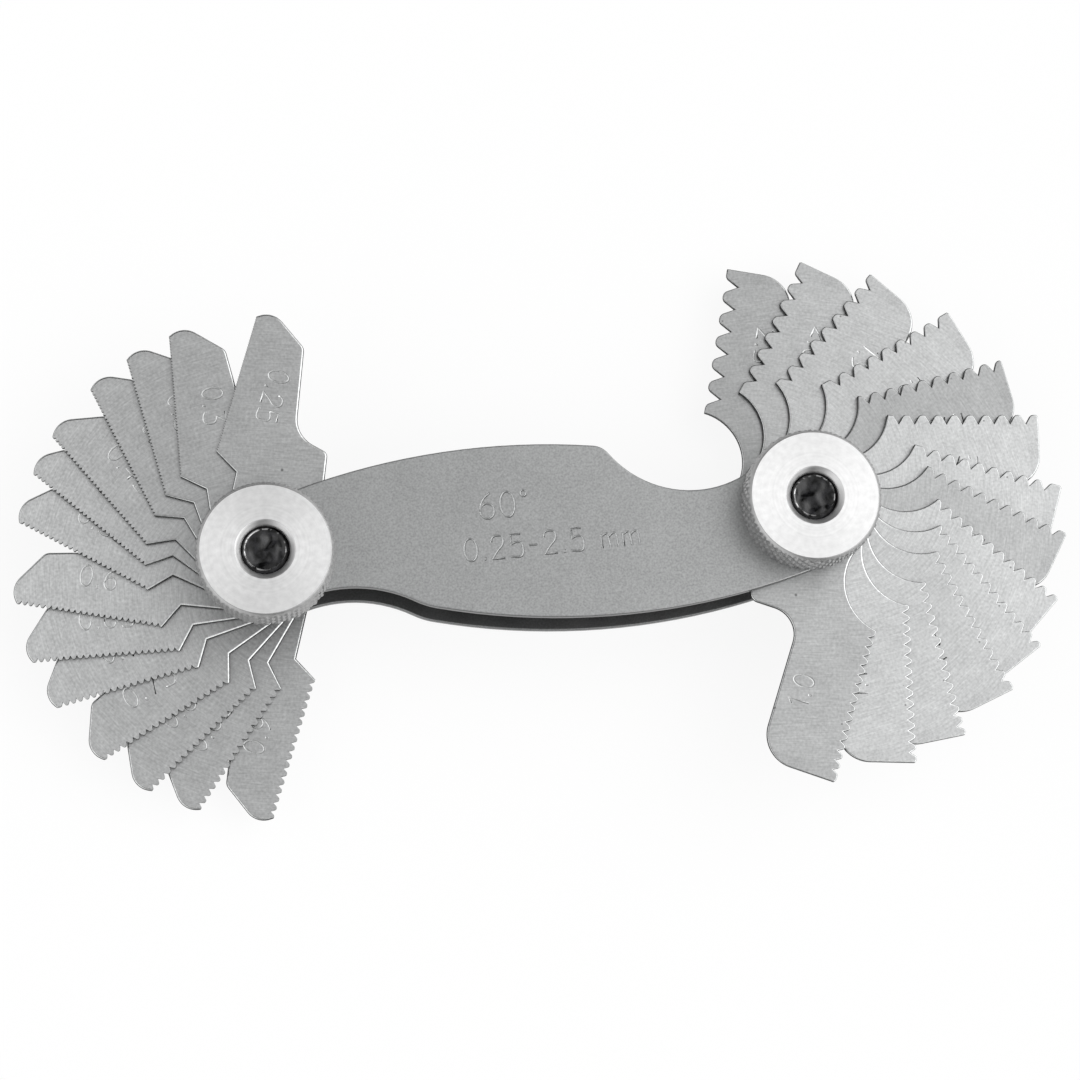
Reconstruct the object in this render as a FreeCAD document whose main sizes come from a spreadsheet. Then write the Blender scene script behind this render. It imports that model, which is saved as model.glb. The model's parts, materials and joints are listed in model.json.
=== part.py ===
import FreeCAD, Part
import math
import os
import Sketcher

# Thread pitch gauge, metric, 60 degrees: two banks of fourteen toothed leaves in a two-plate case.
# Frame: the gauge lies on its back. The origin is the centre of the left screw head's flat end,
# +X runs to the right pivot, +Z comes out of the front plate, millimetres.
# Every leaf is built in its own frame, pivot at the origin and tip along +X, teeth on the +Y edge.
# A folded left leaf points along +X and a folded right leaf along -X; both banks open
# anticlockwise, seen from the front, out of the open long edges of the case.

SIZES = {
    # Case
    "pivot_spacing": 55.0,
    "plate_thickness": 1.0,
    "left_end_radius": 5.2,
    "right_end_radius": 6.4,
    "back_arc_radius": 71.4,        # long edge above the left bank's teeth
    "back_arc_height": 9.14,
    "belly_arc_radius": 72.4,       # long edge below the right bank's teeth
    "belly_arc_depth": 9.3,
    "left_scallop_level": 3.8,      # shallow thumb scallop at the left bank's tabs
    "left_scallop_reach": 15.2,     # where it would meet the belly arc, from the left pivot
    "right_scallop_radius": 10.7,   # deep thumb scallop at the right bank's tabs
    "right_scallop_level": 2.6,
    "left_corner_radius": 8.0,
    "right_corner_radius": 2.2,
    # Pivot screws
    "screw_radius": 2.35,
    "screw_end_chamfer": 0.35,
    "screw_below_face": 0.35,
    "head_radius": 4.6,
    "head_height": 1.6,
    "head_edge_radius": 0.6,
    "running_clearance": 0.05,      # radial, every piece that turns on a screw
    # Knurled thumb nuts
    "nut_height": 4.5,
    "knurl_radius": 6.9,
    "nut_face_radius": 6.46,
    "nut_base_radius": 6.55,
    "nut_top_chamfer": 0.5,
    "nut_base_chamfer": 0.35,
    "countersink_radius": 2.95,
    "countersink_depth": 0.55,
    "knurl_depth": 0.32,
    "knurl_count": 44,
    # Leaves
    "leaf_thickness": 0.5,
    "leaf_play": 0.03,              # free height above and below every leaf
    # Gap between two teeth: a sharp-rooted V, its mouth a share of the pitch
    "flank_angle": 60.0,
    "gap_width": 0.66,
    # Left leaf outline
    "left_hub_radius": 4.85,
    "left_tooth_inner_x": 10.78,
    "left_tooth_inner_y": 5.61,
    "left_tooth_outer_x": 25.10,
    "left_tooth_outer_y": 2.40,
    "left_neck_x": 8.78,
    "left_neck_y": 3.53,
    "left_tip_x": 25.85,
    "left_tip_y": 0.80,
    "left_tip_rounding": 2.1,
    "left_heel_x": 22.06,
    "left_heel_y": -2.62,
    "left_heel_rounding": 1.0,
    "left_notch_x": 12.91,
    "left_notch_y": -2.25,
    "left_notch_rounding": 3.0,
    "left_tab_x": 11.26,
    "left_tab_y": -5.55,
    "left_tab_rounding": 0.7,
    # Right leaf outline
    "right_hub_radius": 6.9,
    "right_tooth_inner_x": 12.72,
    "right_tooth_inner_y": 7.18,
    "right_tooth_outer_x": 27.9,
    "right_tooth_outer_y": 2.86,
    "right_tooth_fall": 0.65,       # drop of the outer end per mm of pitch over the bank's first
    "right_neck_radius": 5.4,
    "right_tip_x": 28.15,
    "right_tip_y": 2.62,
    "right_tip_rounding": 0.12,
    "right_heel_x": 25.70,
    "right_heel_y": -4.98,
    "right_heel_rounding": 3.4,
    "right_notch_x": 11.42,
    "right_notch_y": -0.62,
    "right_notch_rounding": 2.7,
    "right_tab_x": 9.86,
    "right_tab_y": -5.62,
    "right_tab_rounding": 1.0,
}

# (pitch in mm, degrees that the leaf stands open from folded), top of the stack first
LEFT_BANK = [
    (0.25, 81.3), (0.30, 102.0), (0.35, 113.1), (0.40, 123.8), (0.45, 137.7),
    (0.50, 147.2), (0.55, 158.7), (0.60, 177.4), (0.65, 191.3), (0.70, 203.0),
    (0.75, 219.0), (0.80, 231.8), (0.85, 243.6), (0.90, 260.4),
]
RIGHT_BANK = [
    (1.00, 82.8), (1.10, 100.6), (1.20, 113.1), (1.25, 127.6), (1.30, 139.1),
    (1.40, 150.3), (1.50, 164.8), (1.60, 175.4), (1.70, 192.0), (1.75, 206.4),
    (1.80, 222.0), (1.90, 240.8), (2.00, 256.4), (2.50, 273.0),
]

os.makedirs("parts", exist_ok=True)
doc = FreeCAD.newDocument("ThreadPitchGauge")
sheet = doc.addObject("Spreadsheet::Sheet", "Sizes")
V = FreeCAD.Vector


def tag(pitch):
    """0.25 -> 0_25, 1.0 -> 1_0: the pitch as it goes into a name."""
    return ("%.2f" % pitch).rstrip("0").replace(".", "_") + ("0" if pitch == int(pitch) else "")


def fill_sheet():
    """Write every driving size into the sheet, name in column A and value in column B."""
    cells = dict(SIZES)
    for pitch, swing in LEFT_BANK + RIGHT_BANK:
        cells["pitch_" + tag(pitch)] = pitch
        cells["swing_" + tag(pitch)] = swing
    for row, (name, value) in enumerate(cells.items(), start=1):
        sheet.set("A%d" % row, name)
        sheet.set("B%d" % row, str(value))
        sheet.setAlias("B%d" % row, name)
    doc.recompute()


def val(name):
    return float(getattr(sheet, name))


def ref(name):
    return "<<Sizes>>." + name


class Profile:
    """One sketch whose points, radii and lengths are bound to the sheet.

    Geometry is first placed from the sheet's present values, then held by constraints, so the
    solver starts at the answer and a changed size moves the whole outline.
    """

    def __init__(self, body, name, role="XY_Plane"):
        self.sk = body.newObject("Sketcher::SketchObject", name)
        plane = [o for o in body.Origin.OriginFeatures if o.Role == role][0]
        self.sk.AttachmentSupport = [(plane, "")]
        self.sk.MapMode = "FlatFace"
        self.rules = []
        self.bound = []

    def line(self, a, b, helper=False):
        return self.sk.addGeometry(Part.LineSegment(V(a[0], a[1], 0), V(b[0], b[1], 0)), helper)

    def circle(self, centre, radius, radius_expr):
        g = self.sk.addGeometry(Part.Circle(V(centre[0], centre[1], 0), V(0, 0, 1), radius))
        self.size("Radius", (g,), radius, radius_expr)
        return g

    def arc(self, centre, start, end):
        """Arc from start to end, anticlockwise."""
        radius = math.hypot(start[0] - centre[0], start[1] - centre[1])
        a0 = math.atan2(start[1] - centre[1], start[0] - centre[0])
        a1 = math.atan2(end[1] - centre[1], end[0] - centre[0])
        if a1 <= a0:
            a1 += 2 * math.pi
        base = Part.Circle(V(centre[0], centre[1], 0), V(0, 0, 1), radius)
        return self.sk.addGeometry(Part.ArcOfCircle(base, a0, a1))

    def rule(self, *args):
        self.rules.append(Sketcher.Constraint(*args))

    def size(self, kind, where, value, expression):
        self.bound.append((len(self.rules), expression))
        self.rules.append(Sketcher.Constraint(kind, *where, value))

    def fix(self, geo, pos, x, y, x_expr, y_expr):
        """Hold a point at (x, y) from the sketch origin."""
        for kind, value, expression in (("DistanceX", x, x_expr), ("DistanceY", y, y_expr)):
            self.size(kind, (-1, 1, geo, pos), value, expression)

    def finish(self):
        self.sk.addConstraint(self.rules)
        for index, expression in self.bound:
            self.sk.setExpression("Constraints[%d]" % index, expression)
        return self.sk


def rounded_corner(before, corner, after, radius):
    """Tangent points, centre and turn of the arc that rounds a corner."""
    d1 = (before[0] - corner[0], before[1] - corner[1])
    d2 = (after[0] - corner[0], after[1] - corner[1])
    l1, l2 = math.hypot(*d1), math.hypot(*d2)
    d1, d2 = (d1[0] / l1, d1[1] / l1), (d2[0] / l2, d2[1] / l2)
    half = math.acos(max(-1.0, min(1.0, d1[0] * d2[0] + d1[1] * d2[1]))) / 2
    run = radius / math.tan(half)
    mid = (d1[0] + d2[0], d1[1] + d2[1])
    reach = radius / math.sin(half) / math.hypot(*mid)
    centre = (corner[0] + mid[0] * reach, corner[1] + mid[1] * reach)
    left_turn = d1[1] * d2[0] - d1[0] * d2[1] > 0
    return ((corner[0] + d1[0] * run, corner[1] + d1[1] * run),
            (corner[0] + d2[0] * run, corner[1] + d2[1] * run), centre, left_turn)


def tangent_from(point, radius, side):
    """Point where a line from point touches the hub circle; side +1 is the upper one."""
    far = math.hypot(*point)
    angle = math.atan2(point[1], point[0]) + side * math.acos(radius / far)
    return (radius * math.cos(angle), radius * math.sin(angle))


def leaf_point(bank, name, pitch_name):
    """A corner of the leaf as (x, y) and as a pair of expressions.

    On the right bank a coarser leaf is cut deeper at its outer end: there the tooth edge falls
    and the tip slides down the end edge with it.
    """
    x_name, y_name = "%s_%s_x" % (bank, name), "%s_%s_y" % (bank, name)
    x, y, x_expr, y_expr = val(x_name), val(y_name), ref(x_name), ref(y_name)
    if bank == "right" and name in ("tooth_outer", "tip"):
        first = "pitch_" + tag(RIGHT_BANK[0][0])
        fall = val("right_tooth_fall") * (val(pitch_name) - val(first))
        fall_expr = "%s * (%s - %s)" % (ref("right_tooth_fall"), ref(pitch_name), ref(first))
        if name == "tip":
            x -= fall * (x - val("right_heel_x")) / (y - val("right_heel_y"))
            x_expr = "%s - %s * (%s - %s) / (%s - %s)" % (
                x_expr, fall_expr, x_expr, ref("right_heel_x"), y_expr, ref("right_heel_y"))
        y -= fall
        y_expr = "%s - %s" % (y_expr, fall_expr)
    return (x, y), (x_expr, y_expr)


def leaf_outline(body, bank, pitch_name):
    """Outline of a leaf: hub, finger tab, notch, back edge, tip, tooth edge and neck."""
    p = Profile(body, "Outline")

    def point(name):
        return leaf_point(bank, name, pitch_name)[0]

    def terms(name):
        return leaf_point(bank, name, pitch_name)[1]

    hub = val(bank + "_hub_radius")
    corners = ["tab", "notch", "heel", "tip"]
    pts = [tangent_from(point("tab"), hub, -1)] + [point(c) for c in corners]
    outer, inner = point("tooth_outer"), point("tooth_inner")
    pts.append(outer)
    # Straight runs from the hub round to the outer end of the teeth, with rounded corners
    rounds = [rounded_corner(pts[i], pts[i + 1], pts[i + 2], val("%s_%s_rounding" % (bank, c)))
              for i, c in enumerate(corners)]
    starts = [pts[0]] + [r[1] for r in rounds]
    ends = [r[0] for r in rounds] + [outer]
    runs = [p.line(a, b) for a, b in zip(starts, ends)]
    for i, (c, (t1, t2, centre, left_turn)) in enumerate(zip(corners, rounds)):
        arc = p.arc(centre, t1, t2) if left_turn else p.arc(centre, t2, t1)
        first, last = (1, 2) if left_turn else (2, 1)
        p.rule("Tangent", runs[i], 2, arc, first)
        p.rule("Tangent", arc, last, runs[i + 1], 1)
        radius = "%s_%s_rounding" % (bank, c)
        p.size("Radius", (arc,), val(radius), ref(radius))
        mark = p.sk.addGeometry(Part.Point(V(pts[i + 1][0], pts[i + 1][1], 0)), True)
        p.fix(mark, 1, *pts[i + 1], *terms(c))
        p.rule("PointOnObject", mark, 1, runs[i])
        p.rule("PointOnObject", mark, 1, runs[i + 1])
    # Tooth edge
    edge = p.line(outer, inner)
    p.rule("Coincident", runs[-1], 2, edge, 1)
    p.fix(edge, 1, *outer, *terms("tooth_outer"))
    p.fix(edge, 2, *inner, *terms("tooth_inner"))
    # Neck: a straight one behind a re-entrant corner, or one hollow arc
    if bank == "left":
        neck = point("neck")
        top = tangent_from(neck, hub, 1)
        step = p.line(inner, neck)
        run = p.line(neck, top)
        p.rule("Coincident", edge, 2, step, 1)
        p.rule("Coincident", step, 2, run, 1)
        p.fix(step, 2, neck[0], neck[1], ref("left_neck_x"), ref("left_neck_y"))
        hub_arc = p.arc((0, 0), top, pts[0])
        p.rule("Tangent", run, 2, hub_arc, 1)
    else:
        r = val("right_neck_radius")
        far, reach = math.hypot(*inner), hub + r
        turn = math.acos((far * far + reach * reach - r * r) / (2 * far * reach))
        angle = math.atan2(inner[1], inner[0]) + turn
        centre = (reach * math.cos(angle), reach * math.sin(angle))
        top = (hub * math.cos(angle), hub * math.sin(angle))
        hollow = p.arc(centre, top, inner)
        p.size("Radius", (hollow,), r, ref("right_neck_radius"))
        p.rule("Coincident", edge, 2, hollow, 2)
        hub_arc = p.arc((0, 0), top, pts[0])
        p.rule("Tangent", hollow, 1, hub_arc, 1)
    p.rule("Tangent", hub_arc, 2, runs[0], 1)
    p.rule("Coincident", hub_arc, 3, -1, 1)
    p.size("Radius", (hub_arc,), hub, ref(bank + "_hub_radius"))
    # Pivot hole
    hole = p.circle((0, 0), val("screw_radius") + val("running_clearance"),
                    ref("screw_radius") + " + " + ref("running_clearance"))
    p.rule("Coincident", hole, 3, -1, 1)
    return p.finish()


def tooth_gap(body, bank, pitch_name):
    """The gap between two teeth, at the inner end of the tooth edge."""
    p = Profile(body, "ToothGap")
    outer, (ox, oy) = leaf_point(bank, "tooth_outer", pitch_name)
    inner, (ix, iy) = leaf_point(bank, "tooth_inner", pitch_name)
    length = math.hypot(outer[0] - inner[0], outer[1] - inner[1])
    along = ((outer[0] - inner[0]) / length, (outer[1] - inner[1]) / length)
    into = (along[1], -along[0])
    span = "hypot(%s - (%s); %s - (%s))" % (ix, ox, iy, oy)
    pitch, pitch_ref = val(pitch_name), ref(pitch_name)
    count = math.floor(length / pitch)
    count_expr = "floor(%s / %s)" % (span, pitch_ref)
    wide, wide_ref = val("gap_width") * pitch, "%s * %s" % (ref("gap_width"), pitch_ref)
    lead = (length - (count - 1) * pitch - wide) / 2
    lead_expr = "(%s - (%s - 1) * %s - %s) / 2" % (span, count_expr, pitch_ref, wide_ref)

    def at(run, down):
        """Point from the middle of the gap's mouth, along the crests and into the leaf."""
        run += lead + wide / 2
        return (inner[0] + along[0] * run + into[0] * down, inner[1] + along[1] * run + into[1] * down)

    # Line of the crests, which the gaps are counted along, and the gap's mouth on it
    crest = p.line(inner, outer, True)
    p.fix(crest, 1, *inner, ix, iy)
    p.fix(crest, 2, *outer, ox, oy)
    mouth = p.line(at(wide / 2, 0), at(-wide / 2, 0))
    p.rule("PointOnObject", mouth, 1, crest)
    p.rule("PointOnObject", mouth, 2, crest)
    p.size("Distance", (crest, 1, mouth, 2), lead, lead_expr)
    p.size("Distance", (mouth,), wide, wide_ref)
    # Two flanks, as steep as each other, down to the root
    angle = math.radians(val("flank_angle"))
    root = at(0, wide / 2 / math.tan(angle / 2))
    flank_a, flank_b = p.line(at(-wide / 2, 0), root), p.line(root, at(wide / 2, 0))
    p.rule("Coincident", mouth, 2, flank_a, 1)
    p.rule("Coincident", flank_b, 2, mouth, 1)
    p.rule("Equal", flank_a, flank_b)
    p.rule("Coincident", flank_a, 2, flank_b, 1)
    p.size("Angle", (flank_b, 1, flank_a, 2), angle, ref("flank_angle") + " * 1 deg")
    return p.finish(), count_expr


def stack_level(n):
    """Underside of the nth leaf of a bank, counted from the back plate."""
    return "%s + %s + %s + %d * (%s + %s)" % (
        ref("head_height"), ref("plate_thickness"), ref("leaf_play"), n,
        ref("leaf_thickness"), ref("leaf_play"))


def place(body, x=None, z=None, angle=None):
    """Bind a piece's place to the sheet."""
    body.Placement = FreeCAD.Placement(V(0, 0, 0), FreeCAD.Rotation(V(0, 0, 1), 0))
    if x:
        body.setExpression("Placement.Base.x", x)
    if z:
        body.setExpression("Placement.Base.z", z)
    if angle:
        body.setExpression("Placement.Rotation.Angle", angle)


def new_body(name):
    body = doc.addObject("PartDesign::Body", name)
    body.Label = name
    return body


def pad(body, sketch, length_expr, name="Sheet"):
    feature = body.newObject("PartDesign::Pad", name)
    feature.Profile = sketch
    feature.Type = 0
    feature.setExpression("Length", length_expr)
    return feature


def make_leaf(bank, pitch, level):
    """One toothed leaf: a stamped sheet outline with its teeth cut along one edge."""
    name = tag(pitch)
    body = new_body("leaf_" + name)
    blank = pad(body, leaf_outline(body, bank, "pitch_" + name), ref("leaf_thickness"))
    gap, count_expr = tooth_gap(body, bank, "pitch_" + name)
    cut = body.newObject("PartDesign::Pocket", "FirstGap")
    cut.Profile = gap
    cut.Type = 1
    cut.Reversed = True
    row = body.newObject("PartDesign::LinearPattern", "ToothRow")
    row.Originals = [cut]
    row.Direction = (gap, ["Axis0"])
    row.setExpression("Length", "(%s - 1) * %s" % (count_expr, ref("pitch_" + name)))
    row.setExpression("Occurrences", count_expr)
    body.Tip = row
    x = ref("pivot_spacing") if bank == "right" else None
    turn = "180 + " if bank == "right" else ""
    place(body, x, stack_level(level), turn + ref("swing_" + name))
    return body, blank, cut


def plate_outline(body):
    """Case plate: two round ends, two long bowed edges and a thumb scallop at each bank's tabs."""
    p = Profile(body, "PlateOutline")
    d = val("pivot_spacing")
    rl, rr = val("left_end_radius"), val("right_end_radius")
    ra, rb = val("back_arc_radius"), val("belly_arc_radius")
    sr = val("right_scallop_radius")
    fl, fr = val("left_corner_radius"), val("right_corner_radius")
    # centres of the big arcs, each tangent to its round end
    ya = val("back_arc_height") - ra
    a = (math.sqrt((ra - rl) ** 2 - ya ** 2), ya)
    yb = rb - val("belly_arc_depth")
    b = (d - math.sqrt((rb - rr) ** 2 - yb ** 2), yb)
    # the left scallop touches the left end, keeps its level and runs out on the belly arc
    level, reach = val("left_scallop_level"), val("left_scallop_reach")
    exit_y = yb - math.sqrt(rb ** 2 - (reach - b[0]) ** 2)
    k1, k2 = rl ** 2 - level ** 2, 2 * (rl - level)
    k3, k4 = reach ** 2 + k1 + (exit_y + level) ** 2, k2 + 2 * (exit_y + level)
    half, last = k3 * k4 - 2 * reach ** 2 * k2, k3 ** 2 - 4 * reach ** 2 * k1
    sl = last / (math.sqrt(half ** 2 - k4 ** 2 * last) - half)
    left = (math.sqrt(k1 + k2 * sl), -level - sl)
    yr = val("right_scallop_level") + sr
    right = (d - math.sqrt((sr + rr) ** 2 - yr ** 2), yr)

    def blend(big, big_r, hollow, hollow_r, r, side):
        """Centre of the corner arc inside the big arc and outside the scallop."""
        r1, r2 = big_r - r, hollow_r + r
        dx, dy = hollow[0] - big[0], hollow[1] - big[1]
        dist = math.hypot(dx, dy)
        run = (r1 * r1 - r2 * r2 + dist * dist) / (2 * dist)
        off = math.sqrt(r1 * r1 - run * run) * side
        return (big[0] + (dx * run - dy * off) / dist, big[1] + (dy * run + dx * off) / dist)

    cl = blend(b, rb, left, sl, fl, 1)
    cr = blend(a, ra, right, sr, fr, 1)

    def toward(c, other, r):
        dist = math.hypot(other[0] - c[0], other[1] - c[1])
        return (c[0] + (other[0] - c[0]) * r / dist, c[1] + (other[1] - c[1]) * r / dist)

    origin, end = (0.0, 0.0), (d, 0.0)
    t0 = toward(origin, a, -rl)          # back arc meets the left end
    t1 = toward(origin, left, rl)        # left end meets its scallop
    t2 = toward(left, cl, sl)            # scallop meets the corner
    t3 = toward(b, cl, rb)               # corner meets the belly arc
    t4 = toward(b, end, rb)              # belly arc meets the right end
    t5 = toward(end, right, rr)          # right end meets its scallop
    t6 = toward(right, cr, sr)           # scallop meets the corner
    t7 = toward(a, cr, ra)               # corner meets the back arc
    arcs = [
        (p.arc(origin, t0, t1), 1, 2), (p.arc(left, t2, t1), 2, 1), (p.arc(cl, t2, t3), 1, 2),
        (p.arc(b, t3, t4), 1, 2), (p.arc(end, t4, t5), 1, 2), (p.arc(right, t6, t5), 2, 1),
        (p.arc(cr, t6, t7), 1, 2), (p.arc(a, t7, t0), 1, 2),
    ]
    for (g, _, last), (g2, first, _) in zip(arcs, arcs[1:] + arcs[:1]):
        p.rule("Tangent", g, last, g2, first)
    radii = ["left_end_radius", None, "left_corner_radius", "belly_arc_radius",
             "right_end_radius", "right_scallop_radius", "right_corner_radius", "back_arc_radius"]
    for (g, _, _), name in zip(arcs, radii):
        if name:
            p.size("Radius", (g,), val(name), ref(name))
    exit_mark = p.sk.addGeometry(Part.Point(V(reach, exit_y, 0)), True)
    p.rule("PointOnObject", exit_mark, 1, arcs[1][0])
    p.rule("PointOnObject", exit_mark, 1, arcs[3][0])
    p.size("DistanceX", (-1, 1, exit_mark, 1), reach, ref("left_scallop_reach"))
    # level line, out to the scallop's nearest point to the case's centre line
    guide = p.line((0.0, -level), (left[0], -level), True)
    p.rule("Horizontal", guide)
    p.rule("PointOnObject", guide, 1, -2)
    p.size("DistanceY", (-1, 1, guide, 1), -level, "-" + ref("left_scallop_level"))
    p.rule("Vertical", guide, 2, arcs[1][0], 3)
    p.rule("PointOnObject", guide, 2, arcs[1][0])
    p.rule("Coincident", arcs[0][0], 3, -1, 1)
    p.size("DistanceX", (-1, 1, arcs[4][0], 3), d, ref("pivot_spacing"))
    p.rule("PointOnObject", arcs[4][0], 3, -1)
    for index, height, expression in (
            (3, yb, "%s - %s" % (ref("belly_arc_radius"), ref("belly_arc_depth"))),
            (5, yr, "%s + %s" % (ref("right_scallop_level"), ref("right_scallop_radius"))),
            (7, ya, "%s - %s" % (ref("back_arc_height"), ref("back_arc_radius")))):
        p.size("DistanceY", (-1, 1, arcs[index][0], 3), height, expression)
    return p, arcs


def make_plate(name, level_expr, hole_expr, hole_radius):
    body = new_body(name)
    p, arcs = plate_outline(body)
    for centre, end in (((0.0, 0.0), arcs[0][0]), ((val("pivot_spacing"), 0.0), arcs[4][0])):
        hole = p.circle(centre, hole_radius, hole_expr)
        p.rule("Coincident", hole, 3, end, 3)
    pad(body, p.finish(), ref("plate_thickness"), "Plate")
    place(body, None, level_expr)
    return body


def turned_profile(body, name, corners):
    """Closed half section in the XZ plane; corners are (radius, height) value-expression pairs."""
    p = Profile(body, name, "XZ_Plane")
    points = [(r[0], z[0]) for r, z in corners]
    ids = [p.line(points[i], points[(i + 1) % len(points)]) for i in range(len(points))]
    for i, g in enumerate(ids):
        p.rule("Coincident", g, 2, ids[(i + 1) % len(ids)], 1)
        (x, x_expr), (z, z_expr) = corners[i]
        p.fix(g, 1, x, z, x_expr, z_expr)
    return p.finish()


def total(*terms):
    """(value, expression) of a signed sum of sheet names, such as total('a', '-b')."""
    value, text = 0.0, "0"
    for term in terms:
        sign, name = ("-", term[1:]) if term.startswith("-") else ("+", term)
        value += val(name) * (-1 if sign == "-" else 1)
        text += " %s %s" % (sign, ref(name))
    return (value, text)


def revolve(body, sketch):
    turned = body.newObject("PartDesign::Revolution", "Turned")
    turned.Profile = sketch
    turned.ReferenceAxis = (sketch, ["V_Axis"])
    turned.Angle = 360
    return turned


def make_nut(name, x):
    """Thumb nut: turned blank with chamfers, countersink and bore, then a knurled rim."""
    body = new_body(name)
    zero = total()
    bore = total("screw_radius", "running_clearance")
    top = total("nut_height")
    profile = turned_profile(body, "NutSection", [
        (bore, zero), (total("nut_base_radius"), zero),
        (total("knurl_radius"), total("nut_base_chamfer")),
        (total("knurl_radius"), total("nut_height", "-nut_top_chamfer")),
        (total("nut_face_radius"), top), (total("countersink_radius"), top),
        (bore, total("nut_height", "-countersink_depth")),
    ])
    blank = revolve(body, profile)
    # one V groove of the knurl, wider than deep, open past the rim
    p = Profile(body, "KnurlGroove")
    rim, deep = val("knurl_radius"), val("knurl_depth")
    corners = [(rim - deep, 0.0), (rim + deep, 2 * deep), (rim + deep, -2 * deep)]
    ids = [p.line(corners[i], corners[(i + 1) % 3]) for i in range(3)]
    for i in range(3):
        p.rule("Coincident", ids[i], 2, ids[(i + 1) % 3], 1)
    p.size("DistanceX", (-1, 1, ids[0], 1), rim - deep,
           "%s - %s" % (ref("knurl_radius"), ref("knurl_depth")))
    p.rule("PointOnObject", ids[0], 1, -1)
    for pos, sign in ((1, 1), (2, -1)):
        p.fix(ids[1], pos, rim + deep, sign * 2 * deep,
              "%s + %s" % (ref("knurl_radius"), ref("knurl_depth")),
              "%d * %s" % (2 * sign, ref("knurl_depth")))
    # cut between the two chamfers only
    p.sk.AttachmentOffset = FreeCAD.Placement(V(0, 0, val("nut_base_chamfer")), FreeCAD.Rotation())
    p.sk.setExpression("AttachmentOffset.Base.z", ref("nut_base_chamfer"))
    groove = body.newObject("PartDesign::Pocket", "Groove")
    groove.Profile = p.finish()
    groove.Type = 0
    groove.setExpression("Length", "%s - %s - %s" % (
        ref("nut_height"), ref("nut_top_chamfer"), ref("nut_base_chamfer")))
    groove.Reversed = True
    rim_pattern = body.newObject("PartDesign::PolarPattern", "Knurl")
    rim_pattern.Originals = [groove]
    rim_pattern.Axis = (groove.Profile[0], ["N_Axis"])
    rim_pattern.Angle = 360
    rim_pattern.setExpression("Occurrences", ref("knurl_count"))
    body.Tip = rim_pattern
    place(body, x, front_of_case())
    return body, blank, groove


def front_of_case():
    """Front face of the front plate: two plates, fourteen leaves and the play round them."""
    return "%s + 2 * %s + %d * (%s + %s) + %s" % (
        ref("head_height"), ref("plate_thickness"), len(LEFT_BANK),
        ref("leaf_thickness"), ref("leaf_play"), ref("leaf_play"))


def front_of_case_value():
    n = len(LEFT_BANK)
    return (val("head_height") + 2 * val("plate_thickness")
            + n * (val("leaf_thickness") + val("leaf_play")) + val("leaf_play"))


def make_screw(name, x):
    """Pivot screw: low round head under the back plate, plain shank, chamfered end."""
    body = new_body(name)
    zero = total()
    face = front_of_case_value() + val("nut_height") - val("screw_below_face")
    face_expr = "%s + %s - %s" % (front_of_case(), ref("nut_height"), ref("screw_below_face"))
    chamfer, edge = val("screw_end_chamfer"), ref("screw_end_chamfer")
    revolve(body, turned_profile(body, "ScrewSection", [
        (zero, zero), (total("head_radius", "-head_edge_radius"), zero),
        (total("head_radius"), total("head_edge_radius")),
        (total("head_radius"), total("head_height")),
        (total("screw_radius"), total("head_height")),
        (total("screw_radius"), (face - chamfer, face_expr + " - " + edge)),
        (total("screw_radius", "-screw_end_chamfer"), (face, face_expr)),
        (zero, (face, face_expr)),
    ]))
    place(body, x)
    return body


fill_sheet()
cuts = []
pieces = []
spacing = ref("pivot_spacing")

pieces.append(make_plate("back_plate", ref("head_height"), ref("screw_radius"),
                         val("screw_radius")))
front_level = front_of_case() + " - " + ref("plate_thickness")
pieces.append(make_plate("front_plate", front_level,
                         ref("screw_radius") + " + " + ref("running_clearance"),
                         val("screw_radius") + val("running_clearance")))
pieces.append(make_screw("left_screw", None))
pieces.append(make_screw("right_screw", spacing))
for nut_name, nut_x in (("left_thumb_nut", None), ("right_thumb_nut", spacing)):
    nut, nut_blank, nut_groove = make_nut(nut_name, nut_x)
    pieces.append(nut)
    cuts.append((nut_blank, nut_groove))
for bank_name, leaves in (("left", LEFT_BANK), ("right", RIGHT_BANK)):
    for index, (leaf_pitch, _) in enumerate(leaves):
        leaf, leaf_blank, leaf_cut = make_leaf(bank_name, leaf_pitch, len(leaves) - 1 - index)
        pieces.append(leaf)
        cuts.append((leaf_blank, leaf_cut))
doc.recompute()

# Nothing is written unless every object rebuilt, every cut cut and every piece is one sound solid
for obj in doc.Objects:
    if "Invalid" in obj.State or "Error" in obj.State:
        raise RuntimeError("failed to rebuild: " + obj.Name)
    if obj.isDerivedFrom("Sketcher::SketchObject") and not obj.FullyConstrained:
        raise RuntimeError("loose sketch: " + obj.Name)
for before, after in cuts:
    if not after.Shape.Volume < before.Shape.Volume - 1e-6:
        raise RuntimeError("cut nothing: " + after.Name)
for piece in pieces:
    shape = piece.Shape
    if shape.isNull() or not shape.isValid() or len(shape.Solids) != 1:
        raise RuntimeError("bad shape: " + piece.Label)
for piece in pieces:
    piece.Shape.exportStep(os.path.join("parts", piece.Label + ".step"))
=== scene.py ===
"""Finish of a metric thread pitch gauge: two fans of toothed steel leaves in a two-plate case.

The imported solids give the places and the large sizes. This file rounds and engraves the leaves and
plates, turns the knurled nuts and the screws, and sets up the studio. Everything is in metres.
"""

import json
import math
from contextlib import contextmanager

import bmesh
import bpy
from bpy.props import FloatProperty, FloatVectorProperty, IntProperty, PointerProperty
from mathutils import Matrix, Vector, noise


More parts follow.
